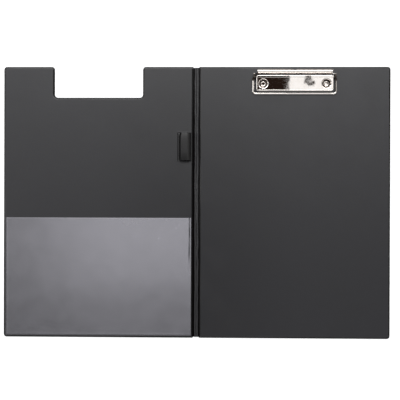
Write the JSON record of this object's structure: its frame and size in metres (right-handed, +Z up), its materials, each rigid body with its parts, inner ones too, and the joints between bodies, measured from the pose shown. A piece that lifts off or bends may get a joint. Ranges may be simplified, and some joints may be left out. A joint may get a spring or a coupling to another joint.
{
  "type": "clipboard folder",
  "caption": "Fold-over clipboard lying open: a board with a sprung steel clip, a welded spine and a notched cover with a clear pocket and a pen loop.",
  "frame": {"origin": "on the table under the middle of the spine, the object lying open on its back", "axes": "+X towards the board with the clip, +Y towards the end that has the clip, +Z up"},
  "size_m": [0.4568, 0.3204, 0.0109],
  "materials": {
    "outer_vinyl": "fine leather grain, black PVC sheet",
    "inner_vinyl": "fine grain, black PVC sheet",
    "clear_vinyl": "clear, slightly milky PVC sheet",
    "greyboard": "grey recycled board",
    "nickel_plate": "bright nickel plating",
    "steel_wire": "drawn spring wire"
  },
  "bodies": {
    "back_panel": {"back_outer_skin": "outer_vinyl", "back_board": "greyboard", "back_inner_skin": "inner_vinyl", "clip_plate": "nickel_plate", "clip_rivets": "nickel_plate", "clip_pin": "steel_wire", "left_spring": "steel_wire", "right_spring": "steel_wire"},
    "spine": {"spine_outer_web": "outer_vinyl", "spine_inner_web": "inner_vinyl"},
    "front_cover": {"cover_outer_skin": "outer_vinyl", "cover_board": "greyboard", "cover_inner_skin": "inner_vinyl", "pocket_sheet": "clear_vinyl", "pen_loop": "inner_vinyl"},
    "clip_jaw": {"clip_jaw": "nickel_plate"}
  },
  "joints": [
    {"name": "spine_fold", "type": "hinge", "parent": "back_panel", "child": "spine", "pos_m": [0.00315, 0, 0.0003], "axis": [0, 1, 0], "range_deg": [-90, 90], "deforming": ["pen_loop"]},
    {"name": "cover_fold", "type": "hinge", "parent": "spine", "child": "front_cover", "pos_m": [-0.00315, 0, 0.0003], "axis": [0, 1, 0], "range_deg": [-90, 90], "deforming": ["pen_loop"]},
    {"name": "clip_jaw_hinge", "type": "hinge", "parent": "back_panel", "child": "clip_jaw", "pos_m": [0.11578, 0.1479, 0.005], "axis": [-1, 0, 0], "range_deg": [0, 28], "stiffness_Nm_per_rad": 0.4, "springref_deg": -60.16, "deforming": ["left_spring", "right_spring"]}
  ],
  "couplings": [
    {"joint": "spine_fold", "follows": "cover_fold", "ratio": 1}
  ]
}
